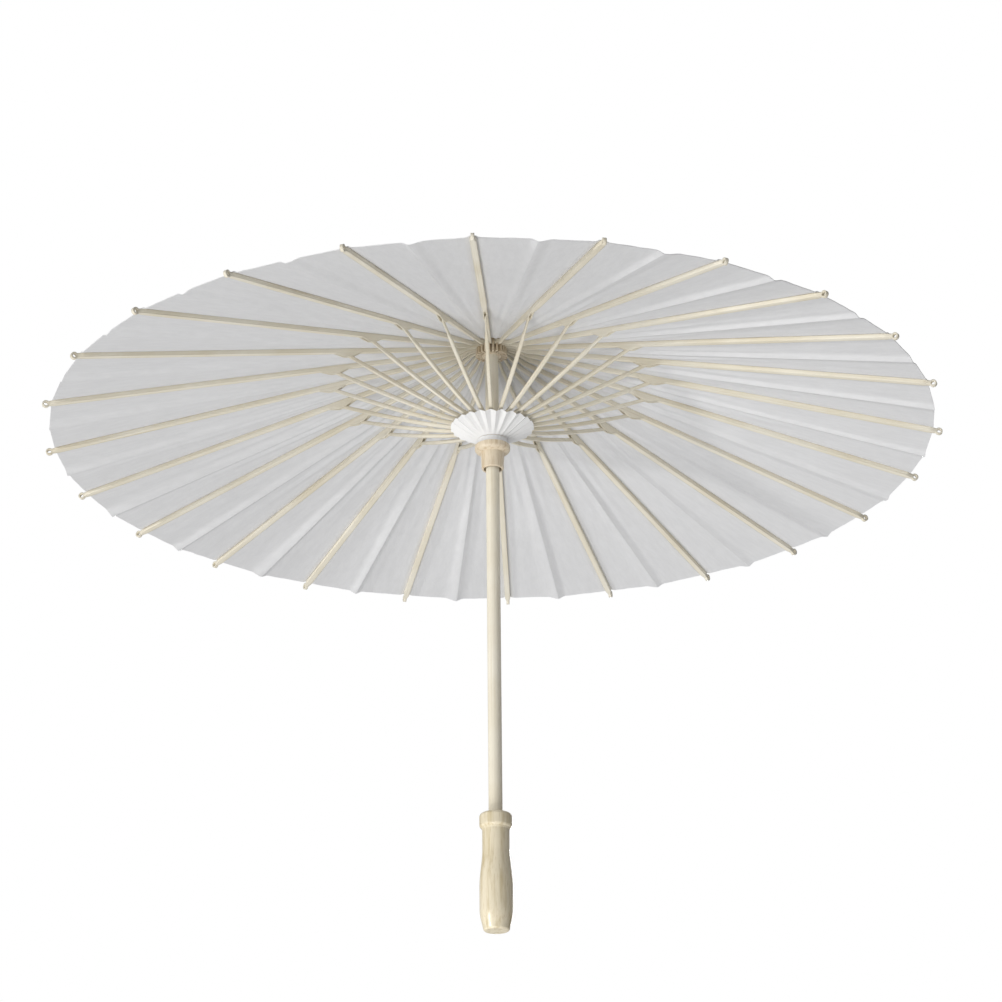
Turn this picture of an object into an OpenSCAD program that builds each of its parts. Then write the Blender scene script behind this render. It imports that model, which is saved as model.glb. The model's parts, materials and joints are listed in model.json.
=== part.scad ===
// Oil paper parasol: turned handle, bamboo shaft, notched hub and runner,
// split bamboo ribs and stretchers, pleated paper collar and paper canopy.
// Millimetres, +Z up. The origin is the middle of the handle's grip,
// on the shaft's axis. Rib 1 points to -Y and the count runs anticlockwise.

/* [Ribs] */
// Number of ribs, and of stretchers
rib_count = 24; // [12:2:24]
// Length of a rib from its thread hole to its tip
rib_length = 420; // [340:5:505]
// Width of a rib, side to side, past its stretcher
rib_width = 5.4; // [4:0.1:6.4]
// Depth of a rib, top to bottom
rib_depth = 4; // [3:0.1:4.6]
// Slope of the open ribs below the horizontal, in degrees
rib_slope = 13; // [9:0.5:18]
// Width of the thinned ends that turn in the notches
tongue_width = 1.6; // [1:0.1:1.8]
// Radius of the hole for the thread in each rib and stretcher head
thread_hole_r = 0.9; // [0.7:0.05:1.1]

/* [Stretchers] */
// Distance from each thread to the pin that joins rib and stretcher
pivot_distance = 143.8; // [115:0.2:175]
// Height of the rib's thread above its centre line, and depth of the pin below it
pivot_offset = 4.1; // [3.5:0.1:5]
// Width of a stretcher, side to side
stretcher_width = 3.3; // [2.2:0.1:4]
// Depth of a stretcher
stretcher_depth = 3.2; // [2.4:0.1:3.4]
// How far the stretcher's bend lies from its thread
bend_reach = 26; // [15:1:40]
// How far the stretcher's bend lies below its thread
bend_drop = 3; // [0:0.5:5]
// Radius of the pin between rib and stretcher
pin_r = 0.6; // [0.4:0.05:0.8]

/* [Hub and runner] */
// Height of the hub's thread above the middle of the grip
hub_height = 539.5; // [440:0.5:650]
// Radius of the two thread rings
thread_ring_r = 12; // [12:0.1:14.4]
// Radius of the thread itself
thread_r = 0.45; // [0.3:0.05:0.5]
// Wood of the hub outside its thread
hub_rim = 3; // [2.5:0.1:5]
// Depth of the hub below its thread
hub_drop = 9.5; // [7:0.5:12]
// Height of the hub above its thread
hub_rise = 4; // [3.4:0.1:7]
// Depth of the notches inside the thread
notch_depth = 3; // [2.6:0.1:3.4]
// Wood of the runner's notched crown outside its thread
crown_rim = 2.6; // [2.2:0.1:4]
// Height of the runner's crown above its thread
crown_rise = 5; // [3.5:0.1:8]
// How far the runner's flange stands out past its crown
flange_rim = 1.9; // [1:0.1:5]
// Height of the runner's flange
flange_height = 7; // [6:0.5:12]
// Depth of the flange's top face below the runner's thread
flange_drop = 21.5; // [17:0.5:26]
// Radius of the runner's neck where it leaves the flange
neck_r = 11; // [10.2:0.1:13]
// Radius of the runner's neck at its lower end
neck_end_r = 10.4; // [10:0.1:12]
// Length of the runner's neck
neck_length = 17; // [10:0.5:26]
// Radius of the wide mouth of the runner's bore
mouth_r = 8.4; // [7.4:0.1:9]
// Depth of the wide mouth
mouth_depth = 11; // [5:0.5:16]

/* [Shaft and handle] */
// Radius of the shaft
shaft_r = 6.25; // [5.2:0.05:7.5]
// Radius of the handle at its grip
grip_r = 14.9; // [13:0.1:18]
// Length of the round, straight part of the grip
grip_land = 20; // [12:1:28]
// Distance from the middle of the grip to the handle's lower end
grip_to_end = 30; // [24:1:40]
// Radius of the handle's flat lower end
end_face_r = 9.6; // [7:0.1:11]
// Radius of the handle's waist under the bead
waist_r = 12.2; // [10.5:0.1:14]
// Height of the waist above the middle of the grip
waist_height = 54; // [44:1:70]
// Radius of the bead at the handle's top
bead_r = 14.6; // [13:0.1:17]
// Height of the bead
bead_height = 13; // [9:0.5:18]
// Height of the handle's top above the middle of the grip
handle_top = 78; // [68:1:95]
// Depth of the shaft's socket in the handle
socket_depth = 62; // [40:1:75]

/* [Paper and top] */
// How far the rib tips stand out past the paper's edge
tip_margin = 8.3; // [4:0.1:20]
// Thickness that the paper and its lining layers take up
paper_room = 1; // [0.6:0.1:1.4]
// Radius at which the paper starts to rise over the hub
peak_r = 38; // [34:1:50]
// Radius of the round top paper
cap_r = 30; // [20:1:33]
// Radius of the pleated collar under the stretchers
collar_r = 40; // [30:1:50]
// Height of the collar's plain band above the flange
collar_band = 4.5; // [2:0.5:6]
// Height of the finial above the top paper
finial_height = 27; // [18:1:40]
// Largest radius of the finial
finial_r = 9; // [8.8:0.1:12]
// Wood of the finial's waist round the shaft
finial_wall = 0.6; // [0.5:0.1:1]

/* [Clearances] */
// Gap between neighbouring ribs when the parasol is closed
side_gap = 0.35; // [0.2:0.05:0.6]
// Gap on each side of a tongue in its notch
notch_gap = 0.15; // [0.1:0.01:0.2]
// Radial gap between the runner and the shaft
runner_gap = 0.3; // [0.15:0.05:0.5]
// Radial gap between a pin and the hole that turns on it
pin_gap = 0.06; // [0.04:0.01:0.1]
// Gap between the paper and the pieces that it lies on
paper_gap = 0.3; // [0.2:0.05:0.5]
// Angle of the closed pivots from the shaft, in degrees
closed_angle = 3; // [3:0.1:5]

/* [Catch] */
// Length of the spring catch below the runner
catch_length = 32; // [24:1:40]
// Thickness of the spring catch
catch_width = 1.2; // [0.8:0.1:2]
// How far the catch stands out from the shaft
catch_reach = 3.4; // [2.6:0.1:4]

/* [Hidden] */
$fn = 96;

// Angles of the linkage: the line from thread to pin hangs below the rib's
// centre line by the angle that the two pivot offsets make.
pivot_tilt = asin(2 * pivot_offset / pivot_distance);
open_drop = rib_slope + pivot_tilt;
closed_tilt = closed_angle + pivot_tilt;
fold_angle = 90 - open_drop - closed_angle;

// Places of the three pivots of an open rib, as radius and height
hub_pivot = [thread_ring_r, hub_height];
mid_pivot = hub_pivot + pivot_distance * [cos(open_drop), -sin(open_drop)];
runner_pivot = [thread_ring_r, hub_height - 2 * pivot_distance * sin(open_drop)];

// Radii that follow the thread rings
hub_r = thread_ring_r + hub_rim;
core_r = thread_ring_r - notch_depth;
crown_r = thread_ring_r + crown_rim;
flange_r = crown_r + flange_rim;

// Heads and notches
head_r = 1.9;
head_gap = 0.6;
head_length = sqrt(pow(hub_drop, 2) + pow(notch_depth, 2)) + head_gap;
rib_blend = 24;
notch_width = tongue_width + 2 * notch_gap;
notch_rise = head_r + head_gap;
notch_room = 1.2;
crown_notch_drop = stretcher_depth / 2 + notch_room;
crown_tongue = 9;
stretcher_taper = 8;
channel_r = thread_r + 0.15;

// Where the stretcher sits in the rib, in the rib's own frame: x runs along
// the rib from its thread and z stands square to it.
rib_top = rib_depth / 2 - pivot_offset;
rib_bottom = -rib_depth / 2 - pivot_offset;
pin_x = pivot_distance * cos(pivot_tilt);
pin_z = -2 * pivot_offset;
belly_drop = stretcher_depth / 2 + 0.1;
belly_flat = 4;
belly_reach = 14;
fork_gap = 0.25;
fork_reach = belly_reach + 1;

// Rib tip with its small eyelet
tip_r = 3.3;
tip_width = 3;
tip_taper = 12;
eyelet_r = 1.8;

// The paper's edge, measured in from the rib tips
rib_tip_r = thread_ring_r + rib_length * cos(rib_slope) - pivot_offset * sin(rib_slope);
canopy_r = rib_tip_r - tip_margin;

// Shaft, hub and top
hub_top = hub_height + hub_rise;
cap_base = hub_top + paper_gap + paper_room;
finial_base = cap_base + paper_gap + paper_room;
finial_socket = 13;
shaft_end = finial_base + finial_socket;
shaft_start = handle_top - socket_depth;

// Runner heights
flange_top = runner_pivot[1] - flange_drop;
flange_foot = flange_top - flange_height;
runner_foot = flange_foot - neck_length;
runner_bore_r = shaft_r + runner_gap;
collar_seat_r = crown_r - 1.4;

// Catch, in its slot on the +Y side of the shaft just below the runner
catch_top = runner_foot - 0.4;
catch_foot = catch_top - catch_length;
catch_pin_r = 0.7;
catch_pin_y = 1.5;
catch_slot_width = catch_width + 0.4;

function two_digits(i) = str(i < 10 ? "0" : "", i);
function rib_name(i) = str("rib_", two_digits(i));
function stretcher_name(i) = str("stretcher_", two_digits(i));
function heading(i) = 270 + (i - 1) * 360 / rib_count;

// Width that one rib may have at a place along it without meeting its
// neighbours when the parasol is closed: x along the rib, z square to it.
function closed_radius(x, z) =
    thread_ring_r + x * sin(closed_tilt) + z * cos(closed_tilt);
function closed_room(x, z) = 2 * tan(180 / rib_count) * closed_radius(x, z) - side_gap;
function rib_width_at(x, z) = max(0.8, min(rib_width, closed_room(x, z)));

// Height of the ribs' top line over a radius
function rib_line(r) = hub_height + rib_top / cos(rib_slope) - (r - thread_ring_r) * tan(rib_slope);

// A quarter of a circle as points, from one angle to another
function arc(centre, r, from, to, steps = 8) =
    [for (k = [0:steps]) centre + r * [cos(from + (to - from) * k / steps), sin(from + (to - from) * k / steps)]];

// A smooth change from one radius to another between two heights
function ease(t) = (1 - cos(180 * t)) / 2;
function flow(r0, z0, r1, z1, steps) =
    [for (k = [0:steps]) [r0 + (r1 - r0) * ease(k / steps), z0 + (z1 - z0) * k / steps]];

// The stretcher's centre line: a quadratic curve from the runner to the rib
bend = runner_pivot + [bend_reach, -bend_drop];
function stretcher_at(t) =
    pow(1 - t, 2) * runner_pivot + 2 * t * (1 - t) * bend + pow(t, 2) * mid_pivot;
function stretcher_way(t) =
    let (v = 2 * (1 - t) * (bend - runner_pivot) + 2 * t * (mid_pivot - bend)) v / norm(v);
function stretcher_edge(t, side) =
    let (v = stretcher_way(t)) stretcher_at(t) + side * stretcher_depth / 2 * [-v[1], v[0]];

module bamboo() { color([0.91, 0.83, 0.66]) children(); }
module wood() { color([0.82, 0.71, 0.52]) children(); }
module paper() { color([0.93, 0.93, 0.92]) children(); }
module thread() { color([0.85, 0.83, 0.78]) children(); }
module steel() { color([0.62, 0.62, 0.6]) children(); }

// A shape drawn in a radial plane, given a thickness across it
module slab(thickness) {
    rotate([90, 0, 0])
        linear_extrude(height = thickness, center = true)
            children();
}

// Side view of a rib: thread head, bend down to the straight stick, belly
// round the stretcher's pin, and the round tip.
module rib_side() {
    tip_x = rib_length - tip_r;
    circle(r = head_r);
    polygon([
        [0, head_r],
        [head_length - 2, head_r],
        [rib_blend, rib_top],
        [tip_x, rib_top],
        [tip_x, rib_bottom],
        [pin_x + belly_reach, rib_bottom],
        [pin_x + belly_flat, pin_z - belly_drop],
        [pin_x - belly_flat, pin_z - belly_drop],
        [pin_x - belly_reach, rib_bottom],
        [rib_blend, rib_bottom],
        [head_length, -head_r],
        [0, -head_r]
    ]);
    translate([tip_x, -pivot_offset])
        circle(r = tip_r);
}

// Plan view of a rib: as wide as the closed parasol leaves room for
module rib_plan() {
    low_x = pin_x - belly_reach;
    high_x = pin_x + belly_reach;
    blend_w = rib_width_at(rib_blend, rib_bottom);
    fork_w = rib_width_at(low_x, pin_z - belly_drop);
    full_w = rib_width_at(high_x + 20, rib_bottom);
    half = [
        [-head_r - 1, tongue_width / 2],
        [head_length, tongue_width / 2],
        [rib_blend, max(tongue_width, blend_w) / 2],
        [low_x, fork_w / 2],
        [high_x, fork_w / 2],
        [high_x + 20, full_w / 2],
        [rib_length - tip_taper, full_w / 2],
        [rib_length - 2 * tip_r, tip_width / 2],
        [rib_length + 1, tip_width / 2]
    ];
    other = [for (k = [len(half) - 1:-1:0]) [half[k][0], -half[k][1]]];
    polygon(concat(half, other));
}

module rib_stick() {
    difference() {
        intersection() {
            slab(rib_width + 1) rib_side();
            translate([0, 0, -4 * rib_depth])
                linear_extrude(height = 8 * rib_depth) rib_plan();
        }
        // hole for the thread
        slab(3 * rib_width) circle(r = thread_hole_r);
        // fork for the stretcher's tongue
        translate([pin_x - fork_reach, -notch_width / 2, pin_z - 3 * belly_drop])
            cube([
                2 * fork_reach,
                notch_width,
                3 * belly_drop + stretcher_depth / 2 + fork_gap
            ]);
        // hole for the pin
        translate([pin_x, 0, pin_z])
            slab(3 * rib_width) circle(r = pin_r + pin_gap / 2);
        // eyelet in the tip
        translate([rib_length - tip_r, 0, -pivot_offset])
            slab(3 * rib_width) circle(r = eyelet_r);
    }
}

module rib(i) {
    pin_length = rib_width_at(pin_x - belly_reach, pin_z - belly_drop) - 0.2;
    rotate([0, 0, heading(i)])
        translate([thread_ring_r, 0, hub_height])
            rotate([0, rib_slope, 0]) {
                bamboo() rib_stick();
                // the pin that the stretcher turns on
                steel()
                    translate([pin_x, 0, pin_z])
                        slab(pin_length) circle(r = pin_r);
            }
}

module stretcher_side() {
    steps = 14;
    start_way = stretcher_way(0);
    end_way = stretcher_way(1);
    start_turn = atan2(start_way[1], start_way[0]);
    end_turn = atan2(end_way[1], end_way[0]);
    end_r = stretcher_depth / 2;
    polygon(concat(
        [for (k = [1:steps - 1]) stretcher_edge(k / steps, 1)],
        arc(mid_pivot, end_r, end_turn + 90, end_turn - 90),
        [for (k = [steps - 1:-1:1]) stretcher_edge(k / steps, -1)],
        arc(runner_pivot, end_r, start_turn - 90, start_turn - 270)
    ));
}

module stretcher_plan() {
    inner = runner_pivot[0];
    outer = mid_pivot[0];
    half = [
        [inner - stretcher_depth, tongue_width / 2],
        [inner + crown_tongue, tongue_width / 2],
        [inner + crown_tongue + stretcher_taper, stretcher_width / 2],
        [outer - fork_reach - stretcher_taper, stretcher_width / 2],
        [outer - fork_reach, tongue_width / 2],
        [outer + stretcher_depth, tongue_width / 2]
    ];
    other = [for (k = [len(half) - 1:-1:0]) [half[k][0], -half[k][1]]];
    polygon(concat(half, other));
}

module stretcher(i) {
    bamboo()
        rotate([0, 0, heading(i)])
            difference() {
                intersection() {
                    slab(stretcher_width + 1) stretcher_side();
                    linear_extrude(height = hub_height) stretcher_plan();
                }
                translate([runner_pivot[0], 0, runner_pivot[1]])
                    slab(3 * stretcher_width) circle(r = thread_hole_r);
                translate([mid_pivot[0], 0, mid_pivot[1]])
                    slab(3 * stretcher_width) circle(r = pin_r + pin_gap);
            }
}

// Radial notches, from the core outwards, between two heights
module notches(low, high) {
    for (i = [1:rib_count])
        rotate([0, 0, heading(i)])
            translate([core_r, -notch_width / 2, low])
                cube([hub_r, notch_width, high - low]);
}

module thread_ring(height, r) {
    translate([0, 0, height])
        rotate_extrude()
            translate([thread_ring_r, 0])
                circle(r = r, $fn = 32);
}

module top_hub() {
    wood()
        difference() {
            translate([0, 0, hub_height - hub_drop])
                cylinder(r = hub_r, h = hub_drop + hub_rise);
            translate([0, 0, hub_height - hub_drop - 1])
                cylinder(r = shaft_r, h = hub_drop + hub_rise + 2);
            notches(hub_height - hub_drop - 1, hub_height + notch_rise);
            thread_ring(hub_height, channel_r);
        }
}

module hub_thread() {
    thread() thread_ring(hub_height, thread_r);
}

module runner_thread() {
    thread() thread_ring(runner_pivot[1], thread_r);
}

// Half of the runner's outline: neck, rounded flange, plain collar seat,
// notched crown, and the stepped bore.
module runner_outline() {
    soft = 3.4;
    crown_foot = runner_pivot[1] - crown_notch_drop - 2;
    crown_top = runner_pivot[1] + crown_rise;
    polygon(concat(
        [[mouth_r, runner_foot], [neck_end_r - 0.6, runner_foot], [neck_end_r, runner_foot + 0.8]],
        flow(neck_end_r + 0.05, runner_foot + 3, neck_r, flange_foot - 1, 4),
        arc([flange_r - soft, flange_foot + soft], soft, -70, 0),
        arc([flange_r - 1, flange_top - 1], 1, 0, 90, 4),
        [[collar_seat_r, flange_top], [collar_seat_r, crown_foot], [crown_r, crown_foot + 1]],
        [[crown_r, crown_top - 0.6], [crown_r - 0.6, crown_top], [runner_bore_r, crown_top]],
        [[runner_bore_r, runner_foot + mouth_depth + 2], [mouth_r, runner_foot + mouth_depth]]
    ));
}

module runner() {
    wood()
        difference() {
            rotate_extrude() runner_outline();
            notches(runner_pivot[1] - crown_notch_drop, runner_pivot[1] + crown_rise + 1);
            thread_ring(runner_pivot[1], channel_r);
        }
}

// The collar is a plain band on the runner's seat and a shallow cone above it
module stretcher_collar() {
    foot = [collar_seat_r + paper_gap, flange_top + paper_gap];
    seat = foot + [paper_room, collar_band];
    edge_z = stretcher_at(0.2)[1] - stretcher_depth / 2 - paper_gap - paper_room - 0.5;
    paper()
        rotate_extrude()
            polygon([
                foot,
                foot + [paper_room, 0],
                seat,
                [collar_r, edge_z],
                [collar_r, edge_z + paper_room],
                seat + [-paper_room, paper_room]
            ]);
}

module shaft() {
    slot_low = catch_foot - 4;
    bamboo()
        difference() {
            translate([0, 0, shaft_start])
                cylinder(r = shaft_r, h = shaft_end - shaft_start);
            // slot that the catch is pressed into
            translate([-catch_slot_width / 2, -shaft_r + 2.4, slot_low])
                cube([catch_slot_width, 2 * shaft_r, catch_top + 1.2 - slot_low]);
            translate([0, catch_pin_y, catch_foot])
                rotate([0, 90, 0])
                    cylinder(r = catch_pin_r + pin_gap / 2, h = 2 * shaft_r + 2, center = true);
        }
}

// A bent leaf that turns on its own cross pin; its heel rests in the slot
// and its tooth stands out under the runner's neck.
module catch_spring() {
    steel() {
        difference() {
            slab_x(catch_width) {
                translate([catch_pin_y, catch_foot]) circle(r = 2);
                polygon([
                    [catch_pin_y - 2, catch_foot],
                    [catch_pin_y + 2, catch_foot],
                    [shaft_r - 0.4, catch_top - catch_length / 2],
                    [shaft_r + catch_reach, catch_top - 1.6],
                    [shaft_r + catch_reach, catch_top],
                    [shaft_r - 1.8, catch_top]
                ]);
            }
            translate([0, catch_pin_y, catch_foot])
                rotate([0, 90, 0])
                    cylinder(r = catch_pin_r + pin_gap, h = 3 * catch_width, center = true);
        }
    }
}

// A shape drawn as depth along +Y and height, given a thickness across X
module slab_x(thickness) {
    rotate([90, 0, 90])
        linear_extrude(height = thickness, center = true)
            children();
}

module catch_pin() {
    translate([0, catch_pin_y, catch_foot])
        rotate([0, 90, 0])
            cylinder(r = catch_pin_r, h = 2 * shaft_r - 1.2, center = true);
}

module handle() {
    end_z = -grip_to_end;
    land = grip_land / 2;
    bead_soft = 3.2;
    bead_foot = handle_top - bead_height;
    wood()
        difference() {
            rotate_extrude()
                polygon(concat(
                    [[0, end_z], [end_face_r, end_z]],
                    arc([end_face_r, end_z + 2.2], 2.2, -60, -10, 5),
                    [for (k = [1:8])
                        let (z = end_z + 3 + (grip_to_end - land - 3) * k / 8)
                            [end_face_r + 2.3 + (grip_r - end_face_r - 2.3) * sin(90 * k / 8), z]],
                    flow(grip_r, land, waist_r, waist_height - 8, 14),
                    [[waist_r, bead_foot - 2.5]],
                    arc([bead_r - bead_soft, bead_foot + bead_soft - 1], bead_soft, -60, 0),
                    arc([bead_r - bead_soft, handle_top - bead_soft], bead_soft, 0, 90),
                    [[0, handle_top]]
                ));
            translate([0, 0, shaft_start])
                cylinder(r = shaft_r, h = socket_depth + 1);
        }
}

module finial() {
    finial_waist_r = shaft_r + finial_wall;
    wood()
        difference() {
            translate([0, 0, finial_base])
                rotate_extrude()
                    polygon(concat(
                        [[0, 0], [finial_r - 1, 0], [finial_r, 0.8], [finial_r, 3]],
                        flow(finial_r - 0.6, 3.6, finial_waist_r, 8, 5),
                        flow(finial_waist_r + 0.2, 9, finial_r - 0.8, 15, 5),
                        [for (k = [1:8])
                            [(finial_r - 0.8) * cos(90 * k / 8), 15 + (finial_height - 15) * sin(90 * k / 8)]]
                    ));
            translate([0, 0, finial_base - 1])
                cylinder(r = shaft_r, h = finial_socket + 1);
        }
}

// Half of a paper cone: its lower outline, and the same outline raised
module skin(points) {
    raised = [for (k = [len(points) - 1:-1:0]) points[k] + [0, paper_room]];
    rotate_extrude($fn = 192) polygon(concat(points, raised));
}

module canopy() {
    paper()
        skin([
            [canopy_r, rib_line(canopy_r) + paper_gap],
            [peak_r, rib_line(peak_r) + paper_gap],
            [hub_r + 1, hub_top + paper_gap],
            [shaft_r + paper_gap, hub_top + paper_gap]
        ]);
}

// The round top paper lies on the canopy and follows its peak
module canopy_cap() {
    lift = paper_gap + paper_room;
    rise = (hub_top - rib_line(peak_r)) / (peak_r - hub_r - 1);
    paper()
        skin([
            [cap_r, hub_top + paper_gap + lift - (cap_r - hub_r - 1) * rise],
            [hub_r + 1, cap_base + paper_gap],
            [shaft_r + paper_gap, cap_base + paper_gap]
        ]);
}

union() {
    shaft();
    steel() catch_pin();
}
handle();
top_hub();
hub_thread();
finial();
canopy();
canopy_cap();
runner();
runner_thread();
stretcher_collar();
catch_spring();
for (i = [1:rib_count]) {
    rib(i);
    stretcher(i);
}
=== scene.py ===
"""Looks of the oil paper parasol: creased paper canopy, top paper, pleated collar,
bamboo, turned wood, thread and spring steel, with a plain studio stage."""

import json
import math

import bpy
import numpy as np
from bpy.props import FloatProperty, FloatVectorProperty, PointerProperty
from mathutils import Matrix, Vector, noise


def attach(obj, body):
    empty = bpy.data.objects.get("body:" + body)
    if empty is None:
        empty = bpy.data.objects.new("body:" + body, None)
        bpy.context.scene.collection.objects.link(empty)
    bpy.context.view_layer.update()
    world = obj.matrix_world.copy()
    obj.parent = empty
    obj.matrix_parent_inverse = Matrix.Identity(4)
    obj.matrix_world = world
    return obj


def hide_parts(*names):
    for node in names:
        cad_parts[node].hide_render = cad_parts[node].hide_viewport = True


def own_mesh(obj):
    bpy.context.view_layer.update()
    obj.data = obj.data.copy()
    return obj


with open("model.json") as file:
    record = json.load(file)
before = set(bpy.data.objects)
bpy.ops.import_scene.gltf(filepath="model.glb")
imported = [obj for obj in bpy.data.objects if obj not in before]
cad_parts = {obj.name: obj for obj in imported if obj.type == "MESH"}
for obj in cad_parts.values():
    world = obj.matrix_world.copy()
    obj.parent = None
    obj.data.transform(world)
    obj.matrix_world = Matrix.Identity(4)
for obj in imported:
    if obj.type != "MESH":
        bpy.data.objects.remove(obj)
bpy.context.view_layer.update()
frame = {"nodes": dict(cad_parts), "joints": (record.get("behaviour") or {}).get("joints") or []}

bl_info = {
    "name": "Oil paper parasol",
    "version": (1, 0, 0),
    "blender": (4, 5, 0),
    "location": "View3D > Sidebar > Parasol",
    "description": "Dresses the parasol's frame in paper, bamboo, wood and thread",
    "category": "Add Mesh",
}

JOINTS = {joint["name"]: joint for joint in frame["joints"]}
RIBS = sorted(name for name in frame["nodes"] if name.startswith("rib_"))
STRETCHERS = sorted(
    name for name in frame["nodes"] if name.startswith("stretcher_") and name[-2:].isdigit())
SECTOR = 2 * math.pi / len(RIBS)


def pivot(joint):
    """Radius and height of a hinge of the linkage."""
    x, y, z = JOINTS[joint]["pos_m"]
    return math.hypot(x, y), z


def outline(node):
    """Radius and height of each ring of corners of a turned CAD node, without repeats."""
    corners = [v.co for v in frame["nodes"][node].data.vertices]
    return sorted({(round(math.hypot(c.x, c.y), 4), round(c.z, 4)) for c in corners})


HUB_PIVOT = pivot("canopy_fold")
MID_PIVOT = pivot("stretcher_01_swing")


def lower_line(node):
    """The underside of a thin paper cone as radii and heights, for numpy.interp."""
    lowest = {}
    for radius, height in outline(node):
        lowest[radius] = min(height, lowest.get(radius, height))
    radii = sorted(lowest)
    return np.array(radii), np.array([lowest[r] for r in radii])


def heading(number):
    """Direction of rib or stretcher number 1, 2, 3 and so on, in radians."""
    return math.radians(270) + (number - 1) * SECTOR


# ---------------------------------------------------------------- settings


class ParasolPaper(bpy.types.PropertyGroup):
    thickness: FloatProperty(
        name="Thickness", description="Thickness of the oiled paper", default=0.00028, unit="LENGTH")
    crease_depth: FloatProperty(
        name="Crease depth", description="How far the middle of each bay hangs at the rim",
        default=0.0012, unit="LENGTH")
    ridge_depth: FloatProperty(
        name="Ridge depth", description="Depth of the sharp fold along the middle of a bay",
        default=0.0027, unit="LENGTH")
    ridge_width: FloatProperty(
        name="Ridge width", description="Width of that fold's steep side at the rim", default=0.0055,
        unit="LENGTH")
    rib_step: FloatProperty(
        name="Step at a rib", description="How far the paper steps down beside the rib it is glued to",
        default=0.0011, unit="LENGTH")
    crumple: FloatProperty(
        name="Crumple", description="Height of the fine wrinkles", default=0.0011, unit="LENGTH")
    hem: FloatProperty(
        name="Hem", description="Width of the doubled edge", default=0.004, unit="LENGTH")
    colour: FloatVectorProperty(
        name="Paper", description="Colour of the paper", default=(0.84, 0.845, 0.86), size=3,
        subtype="COLOR")
    stain: FloatVectorProperty(
        name="Oil", description="Colour where the oil lies thicker", default=(0.78, 0.785, 0.80), size=3,
        subtype="COLOR")
    collar_colour: FloatVectorProperty(
        name="Collar", description="Colour of the collar's paper", default=(0.90, 0.90, 0.90), size=3,
        subtype="COLOR")
    sheer: FloatProperty(
        name="Sheer", description="Share of the light that each face of the paper lets through",
        default=0.15, min=0, max=1, subtype="FACTOR")
    pleat: FloatProperty(
        name="Pleat", description="Depth of the collar's folds at its edge", default=0.0026, unit="LENGTH")


class ParasolWood(bpy.types.PropertyGroup):
    bamboo: FloatVectorProperty(
        name="Bamboo", description="Light colour of split bamboo", default=(0.83, 0.785, 0.67), size=3,
        subtype="COLOR")
    bamboo_dark: FloatVectorProperty(
        name="Bamboo fibre", description="Colour of the darker fibres", default=(0.68, 0.59, 0.43), size=3,
        subtype="COLOR")
    rounding: FloatProperty(
        name="Rounding", description="Rounding of the scraped edges of ribs and stretchers", default=0.002,
        unit="LENGTH")
    turned: FloatVectorProperty(
        name="Turned wood", description="Colour of the hub, runner and finial", default=(0.74, 0.64, 0.49),
        size=3, subtype="COLOR")
    turned_dark: FloatVectorProperty(
        name="Turned grain", description="Colour of their grain", default=(0.52, 0.38, 0.21), size=3,
        subtype="COLOR")
    handle: FloatVectorProperty(
        name="Handle", description="Colour of the handle", default=(0.78, 0.70, 0.53), size=3,
        subtype="COLOR")
    handle_dark: FloatVectorProperty(
        name="Handle grain", description="Colour of the handle's grain", default=(0.58, 0.48, 0.28), size=3,
        subtype="COLOR")


class ParasolStage(bpy.types.PropertyGroup):
    azimuth: FloatProperty(
        name="Azimuth", description="Where the camera stands round the shaft", default=math.radians(1.9),
        subtype="ANGLE")
    elevation: FloatProperty(
        name="Elevation", description="Height angle of the camera; below zero it looks up",
        default=math.radians(-22.78), subtype="ANGLE")
    roll: FloatProperty(
        name="Roll", description="Tilt of the camera about its own line of sight",
        default=math.radians(-0.55), subtype="ANGLE")
    distance: FloatProperty(
        name="Distance", description="From the camera to the point it looks at", default=3.078,
        unit="LENGTH")
    aim_height: FloatProperty(
        name="Aim height", description="Height of the point the camera looks at", default=0.3814,
        unit="LENGTH")
    aim_side: FloatProperty(
        name="Aim side", description="How far right of the shaft that point lies", default=0.0075,
        unit="LENGTH")
    lens: FloatProperty(
        name="Lens", description="Focal length in millimetres", default=118.9, min=20, unit="CAMERA")
    floor: FloatProperty(
        name="Floor", description="Height of the studio floor", default=-1.6, unit="LENGTH")
    key_power: FloatProperty(
        name="Key", description="Strength of the lamp at the front left", default=1.1, min=0)
    fill_power: FloatProperty(
        name="Fill", description="Power of the large soft lamp low in front, in watts", default=14, min=0,
        unit="POWER")
    room: FloatProperty(
        name="Room", description="Brightness of the soft surroundings", default=0.28, min=0)
    room_front: FloatProperty(
        name="Room front", description="How much brighter the room is above and at the front left",
        default=1.0, min=0, max=1, subtype="FACTOR")
    back_power: FloatProperty(
        name="Back", description="Strength of the lamp behind and above", default=2.2, min=0)


# ---------------------------------------------------------------- mesh tools


def new_object(name, vertices, faces, smooth=True):
    """A mesh object in the scene, from plain lists of vertices and faces."""
    mesh = bpy.data.meshes.new(name)
    mesh.from_pydata([tuple(v) for v in vertices], [], faces)
    mesh.validate()
    mesh.update()
    if smooth:
        mesh.shade_smooth()
    obj = bpy.data.objects.new(name, mesh)
    bpy.context.collection.objects.link(obj)
    return obj


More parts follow.
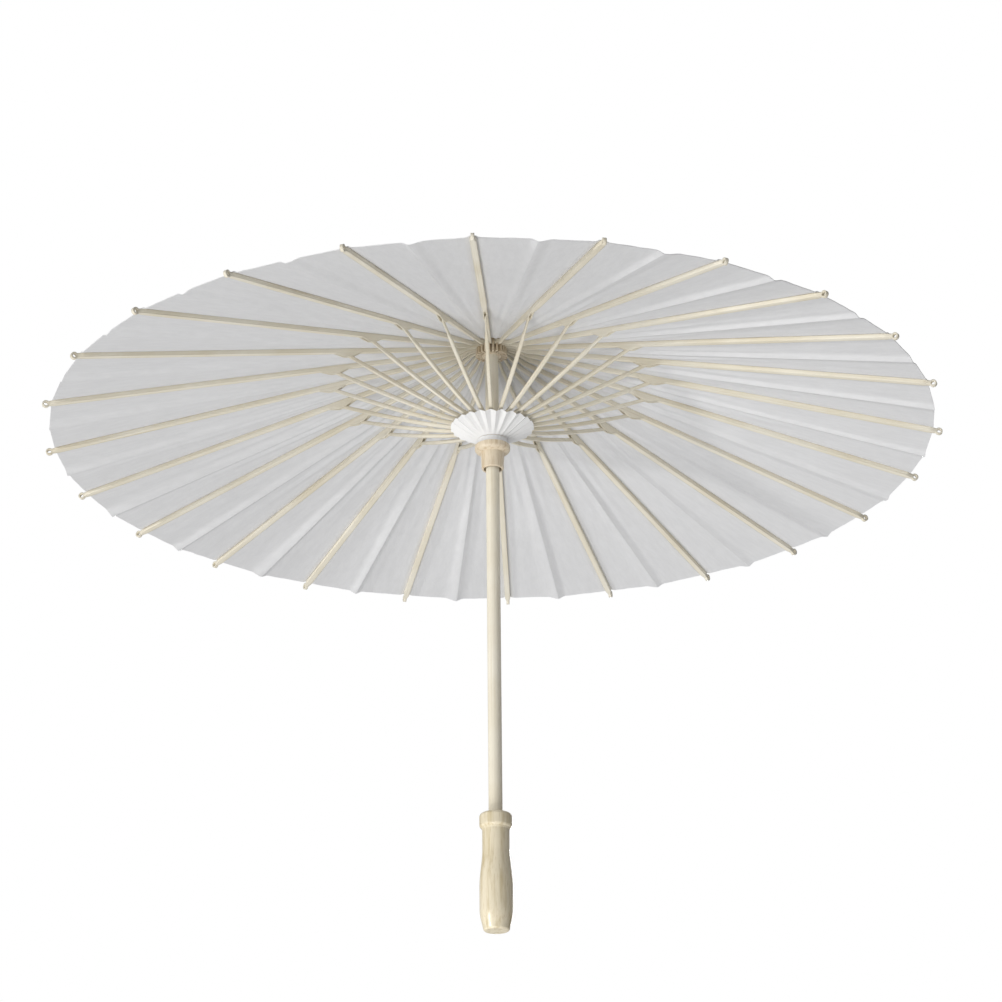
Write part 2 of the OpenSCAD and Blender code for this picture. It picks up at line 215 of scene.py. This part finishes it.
def sheet_solid(name, middle, thickness):
    """A closed thin sheet from a grid of points (rows, columns, 3) and a thickness for each point."""
    rows, columns = middle.shape[:2]
    along = np.gradient(middle, axis=0)
    across = np.gradient(middle, axis=1)
    normal = np.cross(along, across)
    normal /= np.linalg.norm(normal, axis=2, keepdims=True)
    offset = normal * thickness[..., None] / 2
    points = np.concatenate([(middle + offset).reshape(-1, 3), (middle - offset).reshape(-1, 3)])
    index = np.arange(rows * columns).reshape(rows, columns)
    back = index + rows * columns
    faces = []
    for r in range(rows - 1):
        for c in range(columns - 1):
            corners = (index[r, c], index[r + 1, c], index[r + 1, c + 1], index[r, c + 1])
            faces.append(tuple(int(k) for k in corners))
            under = (back[r, c], back[r, c + 1], back[r + 1, c + 1], back[r + 1, c])
            faces.append(tuple(int(k) for k in under))
    rim = [(r, 0) for r in range(rows)] + [(rows - 1, c) for c in range(1, columns)]
    rim += [(r, columns - 1) for r in range(rows - 2, -1, -1)] + [(0, c) for c in range(columns - 2, 0, -1)]
    for k, here in enumerate(rim):
        there = rim[(k + 1) % len(rim)]
        faces.append((int(index[here]), int(back[here]), int(back[there]), int(index[there])))
    obj = new_object(name, points, faces)
    obj.data.set_sharp_from_angle(angle=math.radians(50))
    return obj


def around(radius, angle, height):
    """Points at a radius, angle and height round the shaft."""
    return np.stack([radius * np.cos(angle), radius * np.sin(angle), height], axis=-1)


def rumple(x, y, z):
    """Smooth random height, the same on every run, from -1 to 1."""
    return noise.noise(Vector((x, y, z)))


# ---------------------------------------------------------------- materials


class Nodes:
    """A small helper that adds nodes to one material and joins them."""

    def __init__(self, name):
        self.material = bpy.data.materials.new(name)
        self.material.use_nodes = True
        self.tree = self.material.node_tree
        self.shader = self.tree.nodes["Principled BSDF"]
        self.object = self.add("ShaderNodeTexCoord").outputs["Object"]

    def add(self, kind, **settings):
        made = self.tree.nodes.new(kind)
        for key, value in settings.items():
            setattr(made, key, value)
        return made

    def join(self, source, socket):
        if isinstance(source, bpy.types.NodeSocket):
            self.tree.links.new(source, socket)
        else:
            socket.default_value = source

    def math(self, operation, *values):
        made = self.add("ShaderNodeMath", operation=operation)
        for socket, value in zip(made.inputs, values):
            self.join(value, socket)
        return made.outputs[0]

    def split(self, vector):
        made = self.add("ShaderNodeSeparateXYZ")
        self.join(vector, made.inputs[0])
        return made.outputs

    def vector(self, x, y, z):
        made = self.add("ShaderNodeCombineXYZ")
        for socket, value in zip(made.inputs, (x, y, z)):
            self.join(value, socket)
        return made.outputs[0]

    def noise(self, vector, scale, detail=3.0, roughness=0.55):
        made = self.add("ShaderNodeTexNoise")
        self.join(vector, made.inputs["Vector"])
        made.inputs["Scale"].default_value = scale
        made.inputs["Detail"].default_value = detail
        made.inputs["Roughness"].default_value = roughness
        return made.outputs["Fac"]

    def ramp(self, value, stops):
        made = self.add("ShaderNodeValToRGB")
        self.join(value, made.inputs[0])
        elements = made.color_ramp.elements
        while len(elements) < len(stops):
            elements.new(0.5)
        for element, (place, colour) in zip(elements, stops):
            element.position = place
            element.color = (*colour, 1)
        return made.outputs["Color"]

    def range(self, value, low, high):
        made = self.add("ShaderNodeMapRange")
        self.join(value, made.inputs["Value"])
        made.inputs["To Min"].default_value = low
        made.inputs["To Max"].default_value = high
        return made.outputs["Result"]

    def mix(self, factor, first, second, blend="MIX"):
        made = self.add("ShaderNodeMix", data_type="RGBA", blend_type=blend)
        self.join(factor, made.inputs["Factor"])
        for name, value in (("A", first), ("B", second)):
            socket = next(s for s in made.inputs if s.name == name and s.type == "RGBA")
            self.join(value if isinstance(value, bpy.types.NodeSocket) else (*value, 1), socket)
        return next(s for s in made.outputs if s.type == "RGBA")

    def bump(self, height, strength, distance, round_edge=0.0):
        made = self.add("ShaderNodeBump")
        if round_edge:
            edge = self.add("ShaderNodeBevel", samples=6)
            edge.inputs["Radius"].default_value = round_edge
            self.join(edge.outputs[0], made.inputs["Normal"])
        made.inputs["Strength"].default_value = strength
        made.inputs["Distance"].default_value = distance
        self.join(height, made.inputs["Height"])
        self.join(made.outputs[0], self.shader.inputs["Normal"])

    def polar(self):
        """Radius, distance across the piece's own sector, height, and sector angle."""
        x, y, z = self.split(self.object)
        squares = [self.math("MULTIPLY", side, side) for side in (x, y)]
        radius = self.math("SQRT", self.math("ADD", *squares))
        angle = self.math("ARCTAN2", y, x)
        local = self.math("WRAP", angle, SECTOR / 2, -SECTOR / 2)
        across = self.math("MULTIPLY", radius, local)
        sector = self.math("SUBTRACT", angle, local)
        return radius, across, z, sector


def paper_material(name, colour, stain, rough, sheer):
    m = Nodes(name)
    radius, across, z, sector = m.polar()
    cloud = m.noise(m.object, 9, 4, 0.6)
    lay = m.vector(m.math("MULTIPLY", radius, 60), m.math("MULTIPLY", across, 260), z)
    fibres = m.noise(lay, 1, 5, 0.65)
    pulp = m.noise(m.object, 420, 3, 0.6)
    tone = m.mix(m.range(cloud, 0, 1), colour, stain)
    light = m.ramp(fibres, [(0.35, (0.94, 0.94, 0.94)), (0.65, (1.0, 1.0, 1.0))])
    m.join(m.mix(1.0, tone, light, "MULTIPLY"), m.shader.inputs["Base Color"])
    m.join(m.range(pulp, rough - 0.08, rough + 0.1), m.shader.inputs["Roughness"])
    m.shader.inputs["Specular IOR Level"].default_value = 0.35
    m.shader.inputs["Sheen Weight"].default_value = 0.08
    height = m.math("ADD", m.math("MULTIPLY", fibres, 0.6), m.math("MULTIPLY", pulp, 0.4))
    m.bump(height, 0.35, 0.0004)
    through = m.add("ShaderNodeBsdfTranslucent")
    through.inputs["Color"].default_value = (0.96, 0.955, 0.94, 1)
    both = m.add("ShaderNodeMixShader")
    both.inputs["Fac"].default_value = sheer
    m.join(m.shader.outputs[0], both.inputs[1])
    m.join(through.outputs[0], both.inputs[2])
    m.join(both.outputs[0], m.tree.nodes["Material Output"].inputs["Surface"])
    return m.material


def bamboo_material(name, light, dark, lengthways, round_edge):
    """Split bamboo: long fine fibres, lengthways along the radius of a rib or up the shaft."""
    m = Nodes(name)
    if lengthways == "radius":
        radius, across, z, sector = m.polar()
        low = m.math("MULTIPLY", radius, 7)
        shift = m.math("MULTIPLY", sector, 11)
        side = m.math("MULTIPLY", across, 900)
        rise = m.math("MULTIPLY", m.math("ADD", z, m.math("MULTIPLY", radius, 0.231)), 700)
        grain = m.vector(m.math("ADD", low, shift), side, rise)
        slow = m.vector(m.math("ADD", m.math("MULTIPLY", radius, 14), shift), shift, 0.0)
    else:
        x, y, z = m.split(m.object)
        grain = m.vector(m.math("MULTIPLY", x, 700), m.math("MULTIPLY", y, 700), m.math("MULTIPLY", z, 7))
        slow = m.vector(0.0, 0.0, m.math("MULTIPLY", z, 16))
    fibre = m.noise(grain, 1, 4, 0.6)
    cloud = m.noise(slow, 1, 3, 0.5)
    pale = tuple(min(1.0, c * 1.06 + 0.01) for c in light)
    tone = m.ramp(fibre, [(0.22, dark), (0.42, light), (0.72, pale)])
    shade = m.ramp(cloud, [(0.3, (0.90, 0.87, 0.80)), (0.62, (1.0, 1.0, 1.0))])
    m.join(m.mix(1.0, tone, shade, "MULTIPLY"), m.shader.inputs["Base Color"])
    m.join(m.range(fibre, 0.5, 0.34), m.shader.inputs["Roughness"])
    m.shader.inputs["Specular IOR Level"].default_value = 0.45
    m.bump(fibre, 0.3, 0.0003, round_edge)
    return m.material


def turned_material(name, light, dark, gloss):
    """Turned wood: long grain up the axis, faint rings left by the chisel."""
    m = Nodes(name)
    x, y, z = m.split(m.object)
    grain = m.vector(m.math("MULTIPLY", x, 260), m.math("MULTIPLY", y, 260), m.math("MULTIPLY", z, 16))
    coarse = m.noise(grain, 1, 5, 0.6)
    pores = m.noise(m.vector(m.math("MULTIPLY", x, 1500), m.math("MULTIPLY", y, 1500),
                             m.math("MULTIPLY", z, 90)), 1, 2, 0.5)
    rings = m.noise(m.vector(0.0, 0.0, m.math("MULTIPLY", z, 900)), 1, 2, 0.5)
    tone = m.ramp(coarse, [(0.3, dark), (0.52, light), (0.8, tuple(min(1.0, c * 1.08) for c in light))])
    specks = m.ramp(pores, [(0.3, (0.86, 0.82, 0.75)), (0.45, (1.0, 1.0, 1.0))])
    m.join(m.mix(1.0, tone, specks, "MULTIPLY"), m.shader.inputs["Base Color"])
    m.join(m.range(coarse, 0.46 - gloss * 0.12, 0.34 - gloss * 0.12), m.shader.inputs["Roughness"])
    m.shader.inputs["Coat Weight"].default_value = gloss
    m.shader.inputs["Coat Roughness"].default_value = 0.22
    height = m.math("ADD", m.math("MULTIPLY", pores, 0.6), m.math("MULTIPLY", rings, 0.4))
    m.bump(height, 0.22, 0.0003)
    return m.material


def thread_material(name):
    m = Nodes(name)
    radius, across, z, sector = m.polar()
    lay = m.math("SINE", m.math("ADD", m.math("MULTIPLY", across, 5200), m.math("MULTIPLY", z, 4000)))
    twist = m.range(lay, 0.0, 1.0)
    # The colour follows the twist's height and is darker where it lies low: painted shade in the grooves
    # between the plies.
    tone = m.ramp(twist, [(0.0, (0.55, 0.5, 0.4)), (1.0, (0.88, 0.85, 0.77))])
    m.join(tone, m.shader.inputs["Base Color"])
    m.shader.inputs["Roughness"].default_value = 0.8
    m.shader.inputs["Sheen Weight"].default_value = 0.2
    m.bump(twist, 0.5, 0.0002)
    return m.material


def steel_material(name):
    m = Nodes(name)
    x, y, z = m.split(m.object)
    brush = m.noise(m.vector(m.math("MULTIPLY", x, 2500), m.math("MULTIPLY", y, 2500),
                             m.math("MULTIPLY", z, 40)), 1, 3, 0.6)
    tone = m.ramp(brush, [(0.3, (0.42, 0.41, 0.39)), (0.7, (0.66, 0.65, 0.62))])
    m.join(tone, m.shader.inputs["Base Color"])
    m.shader.inputs["Metallic"].default_value = 1.0
    m.join(m.range(brush, 0.28, 0.46), m.shader.inputs["Roughness"])
    m.bump(brush, 0.15, 0.0002)
    return m.material


def dress(node, *materials):
    """Gives a CAD node's material slots these materials in order, the last one for the rest."""
    for place, slot in enumerate(frame["nodes"][node].material_slots):
        slot.material = materials[min(place, len(materials) - 1)]


# ---------------------------------------------------------------- paper shapes


RIB_HALF_WIDTH = 0.0027
STEP_WIDTH = 0.0030
SIDE_CREASES = 4
SIDE_CREASE_DEPTH = 0.0010
SIDE_CREASE_STEEP = 0.0021
SIDE_CREASE_FLAT = 0.0052


def bay_fold(bay, u, radius, paper):
    """How far a bay hangs below the straight line between its ribs.
    u runs from -1 at one rib to 1 at the next, with the sharp fold at 0."""
    rim = float(CANOPY_RADII[-1])
    share = radius / rim
    taut = min(1.0, max(0.0, (radius - HUB_PIVOT[0]) / 0.03))
    half_bay = radius * SECTOR / 2
    broad = (1 - min(1.0, abs(u))) * paper.crease_depth * share ** 1.3
    steep = paper.ridge_width * (0.45 + 0.55 * share) * (1 + 0.35 * rumple(bay * 5.7, share * 2.1, 3.3))
    flank = steep if u < 0 else steep * (2.2 + 1.5 * rumple(bay * 2.9, share * 1.5, 6.1))
    rise = max(0.0, 1 - abs(u) * half_bay / flank)
    rise = rise * rise * (3 - 2 * rise) if u > 0 else rise
    total = broad + paper.ridge_depth * rise * min(1.0, 0.35 + share)
    for k in range(SIDE_CREASES):
        start = 0.26 + 0.16 * rumple(bay * 3.7, k * 4.3, 0.7)
        end = 0.62 + 0.42 * rumple(bay * 1.9, k * 7.1, 4.4)
        along = (share - start) / max(0.05, end - start)
        if along <= 0 or along >= 1:
            continue
        side = -1 if k % 2 else 1
        outward = 0.62 - 0.16 * (k // 2) + 0.22 * rumple(bay * 2.3, k * 5.9, 7.7)
        place = side * outward * (1 - 0.45 * along)
        across = (u - place) * half_bay
        width = SIDE_CREASE_STEEP if across * side < 0 else SIDE_CREASE_FLAT
        peak = max(0.0, 1 - abs(across) / width)
        total += SIDE_CREASE_DEPTH * peak * math.sin(math.pi * along) ** 0.7
    beside = (1 - abs(u)) * half_bay - RIB_HALF_WIDTH
    step = min(1.0, max(0.0, beside / STEP_WIDTH))
    total += paper.rib_step * step * step * (3 - 2 * step) * min(1.0, share * 2.5)
    return total * taut * min(1.0, max(0.0, beside) / 0.002)


def crumple_at(angle, radius, u, paper):
    """Fine wrinkles, longer along the radius, rougher where the stretchers push at the ribs."""
    x, y = radius * math.cos(angle), radius * math.sin(angle)
    long_way = rumple(angle * 46, radius * 9, 5.1) * 0.55
    small = rumple(x * 42, y * 42, 2.2) * 0.5 + rumple(x * 95, y * 95, 8.8) * 0.28
    near_pivot = math.exp(-(((radius - MID_PIVOT[0] - 0.012) / 0.055) ** 2))
    level = 0.32 + 0.85 * near_pivot
    half_bay = radius * SECTOR / 2
    from_rib = min(1.0, max(0.0, (1 - abs(u)) * half_bay - 0.0028) / 0.012)
    seam = min(1.0, abs(u) * half_bay / 0.004)
    return (long_way * 0.6 + small * level) * paper.crumple * from_rib * (0.35 + 0.65 * seam)


CANOPY_RADII, CANOPY_HEIGHTS = lower_line("canopy")
GORE_ROWS = 84
HALF_GORE = (0, 0.03, 0.055, 0.085, 0.12, 0.17, 0.23, 0.30, 0.37, 0.44, 0.51, 0.58, 0.65, 0.72, 0.78, 0.83,
             0.875, 0.91, 0.94, 0.97, 1)
GORE_COLUMNS = 2 * len(HALF_GORE) - 1
RIB_SEAT = 0.00018
PAPER_ROUGHNESS = 0.55


def gore_grid(number, paper):
    """Points of the paper that one rib carries, from the hub to the rim, fold to fold."""
    rim = float(CANOPY_RADII[-1])
    start = float(CANOPY_RADII[CANOPY_RADII > HUB_PIVOT[0]][0]) - 0.001
    rows = start + (rim - start) * np.linspace(0, 1, GORE_ROWS) ** 0.9
    columns = [-place for place in reversed(HALF_GORE[1:])] + list(HALF_GORE)
    middle = np.zeros((GORE_ROWS, GORE_COLUMNS, 3))
    for c, side in enumerate(columns):
        local = side * SECTOR / 2
        angle = heading(number) + local
        bay = number if side >= 0 else number - 1
        bay = (bay - 1) % len(RIBS) + 1
        u = -1 + side if side >= 0 else 1 + side
        chord = math.cos(SECTOR / 4) / math.cos(abs(local) - SECTOR / 4)
        for r, radius in enumerate(rows):
            reach = radius * (1 + (chord - 1) * (radius / rim) ** 6)
            height = np.interp(radius, CANOPY_RADII, CANOPY_HEIGHTS)
            height -= bay_fold(bay, u, radius, paper) + RIB_SEAT
            height += crumple_at(angle, radius, u, paper)
            middle[r, c] = (reach * math.cos(angle), reach * math.sin(angle), height)
    return middle, rows


STRIP_HALF_WIDTHS = ((0.020, 0.0010), (0.035, 0.0012), (0.138, 0.0023), (0.185, 0.0030))
STRIP_START = 0.034
STRIP_ROWS = 40
STRIP_COLUMNS = (-1, -0.5, 0, 0.5, 1)


def strip_grid(number, paper):
    """Points of the paper over the top of one rib, a little wider than the rib, from the hub to the rim."""
    rim = float(CANOPY_RADII[-1])
    rows = np.linspace(STRIP_START, rim - 0.0003, STRIP_ROWS)
    half = np.interp(rows, *zip(*STRIP_HALF_WIDTHS))
    lift = paper.thickness * (1.05 + 0.65 * np.clip((rows - rim + paper.hem) / 0.0008, 0, 1)) - RIB_SEAT
    height = np.interp(rows, CANOPY_RADII, CANOPY_HEIGHTS) + lift
    angle = heading(number)
    along = np.array((math.cos(angle), math.sin(angle), 0.0))
    across = np.array((-math.sin(angle), math.cos(angle), 0.0))
    middle = np.zeros((STRIP_ROWS, len(STRIP_COLUMNS), 3))
    for c, side in enumerate(STRIP_COLUMNS):
        middle[:, c] = rows[:, None] * along + side * half[:, None] * across
        middle[:, c, 2] = height
    return middle


class ParasolCanopyBuilder(bpy.types.Operator):
    """Make the creased paper that each rib carries, folding with its rib"""

    bl_idname = "parasol.canopy"
    bl_label = "Canopy"

    def execute(self, context):
        paper = context.scene.parasol_paper
        skin = paper_material("oiled_paper", paper.colour[:], paper.stain[:], PAPER_ROUGHNESS, paper.sheer)
        first = None
        for number, rib in enumerate(RIBS, 1):
            middle, rows = gore_grid(number, paper)
            rim = rows[-1]
            hem = np.clip((rows - rim + paper.hem) / 0.0008, 0, 1)
            thickness = np.repeat((paper.thickness * (1 + 1.3 * hem))[:, None], GORE_COLUMNS, axis=1)
            gore = sheet_solid(f"paper_{number:02d}", middle, thickness)
            gore.data.materials.append(skin)
            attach(gore, rib)
            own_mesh(gore)
            strip = sheet_solid(f"rib_paper_{number:02d}", strip_grid(number, paper),
                                np.full((STRIP_ROWS, len(STRIP_COLUMNS)), paper.thickness))
            strip.data.materials.append(skin)
            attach(strip, rib)
            first = first or gore
        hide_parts("canopy")
        return {"FINISHED"}


class ParasolCapBuilder(bpy.types.Operator):
    """Make the round top paper that covers the hub, with small pleats at its edge"""

    bl_idname = "parasol.cap"
    bl_label = "Top paper"

    def execute(self, context):
        paper = context.scene.parasol_paper
        radii, heights = lower_line("canopy_cap")
        rows = np.linspace(radii[0], radii[-1], 18)
        steps = len(RIBS) * 8
        angles = np.linspace(0, 2 * math.pi, steps, endpoint=False)
        share = (rows - rows[0]) / (rows[-1] - rows[0])
        wave = np.cos(angles * len(RIBS))
        lift = 0.0005 + 0.0005 * share[:, None] ** 2 * wave[None, :]
        reach = rows[:, None] * (1 - 0.012 * share[:, None] ** 4 * (1 - wave[None, :]))
        middle = around(reach, angles[None, :] + 0 * reach, np.interp(rows, radii, heights)[:, None] + lift)
        half = paper.thickness / 2
        top = middle + [0, 0, half]
        under = middle - [0, 0, half]
        count, across = middle.shape[:2]
        points = np.concatenate([top.reshape(-1, 3), under.reshape(-1, 3)])
        faces = []
        size = count * across
        for r in range(count - 1):
            for c in range(across):
                a, b = r * across + c, r * across + (c + 1) % across
                d, e = a + across, b + across
                faces.append((a, d, e, b))
                faces.append((a + size, b + size, e + size, d + size))
        for c in range(across):
            a, b = c, (c + 1) % across
            faces.append((a, b, b + size, a + size))
            a, b = a + size - across, b + size - across
            faces.append((a, a + size, b + size, b))
        cap = new_object("paper_top", points, faces)
        skin = paper_material("top_paper", paper.colour[:], paper.stain[:], PAPER_ROUGHNESS, paper.sheer)
        cap.data.materials.append(skin)
        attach(cap, "root")
        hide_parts("canopy_cap")
        return {"FINISHED"}


class ParasolCollarBuilder(bpy.types.Operator):
    """Make the pleated paper collar: one fold for each stretcher, and the plain band under them"""

    bl_idname = "parasol.collar"
    bl_label = "Collar"

    def execute(self, context):
        paper = context.scene.parasol_paper
        skin = paper_material("collar_paper", paper.collar_colour[:],
                              tuple(c * 0.96 for c in paper.collar_colour), 0.6, 0.1)
        places = outline("stretcher_collar")
        edge_r, edge_z = min(p for p in places if p[0] == places[-1][0])
        foot_z = places[0][1]
        band_r = sorted({p[0] for p in places})[1]
        seat_z = sorted(p[1] for p in places if p[0] == band_r)[-1]
        half = paper.thickness / 2

        around_band = np.linspace(0, 2 * math.pi, 4 * len(STRETCHERS) + 1)
        rise = np.linspace(foot_z + 0.0002, seat_z + 0.0006, 7)
        ripple = 0.00012 * np.sin(around_band * len(STRETCHERS))[None, :] * (rise[:, None] - foot_z) / 0.004
        wavy = band_r - 0.0004 + ripple
        ring = around(wavy, around_band[None, :] + 0 * wavy, rise[:, None] + 0 * wavy)
        band = sheet_solid("collar_band", ring, np.full(wavy.shape, paper.thickness))
        band.data.materials.append(skin)
        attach(band, "runner")
        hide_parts("stretcher_collar")

        rows = np.linspace(band_r - 0.0004, edge_r - 0.0006, 16)
        columns = np.linspace(-1, 1, 17)
        share = (rows - rows[0]) / (rows[-1] - rows[0])
        base = seat_z + (edge_z - seat_z) * share + half + 0.0010
        valley = np.abs(columns) ** 1.15
        for number, stretcher in enumerate(STRETCHERS, 1):
            way = heading(number)
            angle = way + columns * SECTOR / 2
            deep = paper.pleat * (0.2 + 0.8 * share[:, None]) * (1 + 0.25 * rumple(number * 3.3, 1.0, 2.0))
            fold = deep * (0.3 - valley[None, :]) * np.minimum(1, 0.25 + share[:, None] * 2)
            reach = rows[:, None] * (1 - 0.018 * share[:, None] ** 3 * (1 - valley[None, :]))
            middle = around(reach, angle[None, :] + 0 * reach, base[:, None] + fold)
            fan = sheet_solid(f"collar_{number:02d}", middle, np.full(middle.shape[:2], paper.thickness))
            fan.data.materials.append(skin)
            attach(fan, stretcher)
            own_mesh(fan)
        return {"FINISHED"}


# ---------------------------------------------------------------- bamboo, wood, metal


class ParasolBambooBuilder(bpy.types.Operator):
    """Finish the ribs, stretchers and shaft as split and scraped bamboo"""

    bl_idname = "parasol.bamboo"
    bl_label = "Bamboo"

    def execute(self, context):
        wood = context.scene.parasol_wood
        rib = bamboo_material("rib_bamboo", wood.bamboo[:], wood.bamboo_dark[:], "radius", wood.rounding)
        stick = bamboo_material("shaft_bamboo", wood.bamboo[:], wood.bamboo_dark[:], "height", 0.0)
        for node in RIBS + STRETCHERS:
            dress(node, rib)
        dress("shaft", stick)
        return {"FINISHED"}


class ParasolTurnedBuilder(bpy.types.Operator):
    """Finish the handle, hub, runner and finial as turned wood"""

    bl_idname = "parasol.turned"
    bl_label = "Turned wood"

    def execute(self, context):
        wood = context.scene.parasol_wood
        handle = turned_material("handle_wood", wood.handle[:], wood.handle_dark[:], 0.35)
        small = turned_material("small_wood", wood.turned[:], wood.turned_dark[:], 0.1)
        dress("handle", handle)
        for node in ("top_hub", "runner", "finial"):
            dress(node, small)
        return {"FINISHED"}


class ParasolFittingsBuilder(bpy.types.Operator):
    """Finish the threads and the spring catch"""

    bl_idname = "parasol.fittings"
    bl_label = "Thread and catch"

    def execute(self, context):
        thread = thread_material("cotton_thread")
        dress("hub_thread", thread)
        dress("runner_thread", thread)
        dress("catch_spring", steel_material("spring_steel"))
        return {"FINISHED"}


# ---------------------------------------------------------------- stage

MIDDLE_OF_PARASOL = (0, 0, 0.42)
FLOOR_REACH = 9
WARM_WHITE = (1.0, 0.99, 0.97)
NEAR_WHITE = (1.0, 0.995, 0.985)
BRIGHT_SIDE = (-0.7, -0.34, 0.62)


def area_light(name, place, target, size, power, colour):
    """A round soft lamp that shines at a target and is not seen itself."""
    light = bpy.data.lights.new(name, "AREA")
    light.shape = "DISK"
    light.size = size
    light.energy = power
    light.color = colour
    light.spread = math.radians(130)
    obj = bpy.data.objects.new(name, light)
    obj.location = place
    obj.rotation_euler = (Vector(target) - Vector(place)).to_track_quat("-Z", "Y").to_euler()
    obj.visible_camera = False
    bpy.context.collection.objects.link(obj)


def white_room(stage):
    """Soft surroundings, brighter above and at the front left, that look plain white behind the parasol."""
    world = bpy.data.worlds.new("white_room")
    world.use_nodes = True
    nodes, links = world.node_tree.nodes, world.node_tree.links
    soft = nodes["Background"]
    place = nodes.new("ShaderNodeTexCoord")
    toward = nodes.new("ShaderNodeVectorMath")
    toward.operation = "DOT_PRODUCT"
    toward.inputs[1].default_value = BRIGHT_SIDE
    links.new(place.outputs["Generated"], toward.inputs[0])
    front = nodes.new("ShaderNodeMapRange")
    links.new(toward.outputs["Value"], front.inputs["Value"])
    front.inputs["From Min"].default_value = -1
    front.inputs["To Min"].default_value = stage.room * (1 - stage.room_front)
    front.inputs["To Max"].default_value = stage.room * (1 + stage.room_front)
    links.new(front.outputs["Result"], soft.inputs["Strength"])
    soft.inputs["Color"].default_value = (1, 1, 1, 1)
    white = nodes.new("ShaderNodeBackground")
    white.inputs["Color"].default_value = (1, 1, 1, 1)
    seen = nodes.new("ShaderNodeLightPath")
    mix = nodes.new("ShaderNodeMixShader")
    links.new(seen.outputs["Is Camera Ray"], mix.inputs["Fac"])
    links.new(soft.outputs[0], mix.inputs[1])
    links.new(white.outputs[0], mix.inputs[2])
    links.new(mix.outputs[0], nodes["World Output"].inputs["Surface"])
    return world


def sun_lamp(name, place, strength, spread, colour):
    """A lamp far away in the direction of a place; spread is its size in degrees."""
    lamp = bpy.data.lights.new(name, "SUN")
    lamp.energy = strength
    lamp.angle = math.radians(spread)
    lamp.color = colour
    obj = bpy.data.objects.new(name, lamp)
    obj.location = place
    obj.rotation_euler = (Vector(MIDDLE_OF_PARASOL) - obj.location).to_track_quat("-Z", "Y").to_euler()
    bpy.context.collection.objects.link(obj)


class ParasolStageBuilder(bpy.types.Operator):
    """Set the camera, the pale floor, the white surroundings and the soft lights"""

    bl_idname = "parasol.stage"
    bl_label = "Stage"

    def execute(self, context):
        stage = context.scene.parasol_stage
        side, rise = stage.azimuth, stage.elevation
        aim = Vector((stage.aim_side * math.cos(side), stage.aim_side * math.sin(side), stage.aim_height))
        back = Vector((math.sin(side) * math.cos(rise), -math.cos(side) * math.cos(rise), math.sin(rise)))
        camera = bpy.data.objects.new("camera", bpy.data.cameras.new("camera"))
        camera.data.lens = stage.lens
        camera.data.sensor_width = 36
        camera.data.clip_end = 60
        turn = (-back).to_track_quat("-Z", "Y").to_matrix().to_4x4() @ Matrix.Rotation(stage.roll, 4, "Z")
        camera.matrix_world = Matrix.Translation(aim + back * stage.distance) @ turn
        context.collection.objects.link(camera)
        context.scene.camera = camera

        reach = FLOOR_REACH
        corners = [(-reach, -reach, 0), (reach, -reach, 0), (reach, reach, 0), (-reach, reach, 0)]
        floor = new_object("floor", corners, [(0, 1, 2, 3)], False)
        floor.location.z = stage.floor
        m = Nodes("floor_paint")
        m.join(m.ramp(m.noise(m.object, 0.8, 2), [(0.3, (0.86, 0.86, 0.87)), (0.7, (0.9, 0.9, 0.9))]),
               m.shader.inputs["Base Color"])
        m.shader.inputs["Roughness"].default_value = 0.9
        floor.data.materials.append(m.material)

        context.scene.world = white_room(stage)
        context.scene.view_settings.view_transform = "Standard"
        sun_lamp("key", (-2.4, -1.8, 0.1), stage.key_power, 4, WARM_WHITE)
        sun_lamp("back", (0.15, 3.0, 1.1), stage.back_power, 12, NEAR_WHITE)
        area_light("fill", (-0.6, -0.7, -1.45), (0, 0.15, 0.42), 1.4, stage.fill_power, WARM_WHITE)
        return {"FINISHED"}


# ---------------------------------------------------------------- panel and registration

BUILDERS = (
    ParasolStageBuilder,
    ParasolCanopyBuilder,
    ParasolCapBuilder,
    ParasolCollarBuilder,
    ParasolBambooBuilder,
    ParasolTurnedBuilder,
    ParasolFittingsBuilder,
)


class PARASOL_PT_panel(bpy.types.Panel):
    """Lists the parasol's pieces and their settings"""

    bl_idname = "PARASOL_PT_panel"
    bl_label = "Oil paper parasol"
    bl_space_type = "VIEW_3D"
    bl_region_type = "UI"
    bl_category = "Parasol"

    def draw(self, context):
        for builder in BUILDERS:
            self.layout.operator(builder.bl_idname, text=builder.bl_label)
        for group in ("parasol_paper", "parasol_wood", "parasol_stage"):
            settings = getattr(context.scene, group)
            box = self.layout.box()
            for name in settings.bl_rna.properties.keys():
                if name not in ("rna_type", "name"):
                    box.prop(settings, name)


SETTINGS = (
    ("parasol_paper", ParasolPaper),
    ("parasol_wood", ParasolWood),
    ("parasol_stage", ParasolStage),
)


def register():
    for name, group in SETTINGS:
        bpy.utils.register_class(group)
        setattr(bpy.types.Scene, name, PointerProperty(type=group))
    for builder in BUILDERS:
        bpy.utils.register_class(builder)
    bpy.utils.register_class(PARASOL_PT_panel)


def unregister():
    bpy.utils.unregister_class(PARASOL_PT_panel)
    for builder in reversed(BUILDERS):
        bpy.utils.unregister_class(builder)
    for name, group in reversed(SETTINGS):
        delattr(bpy.types.Scene, name)
        bpy.utils.unregister_class(group)


def main():
    register()
    for builder in BUILDERS:
        group, name = builder.bl_idname.split(".")
        getattr(getattr(bpy.ops, group), name)()


if __name__ == "__main__":
    main()
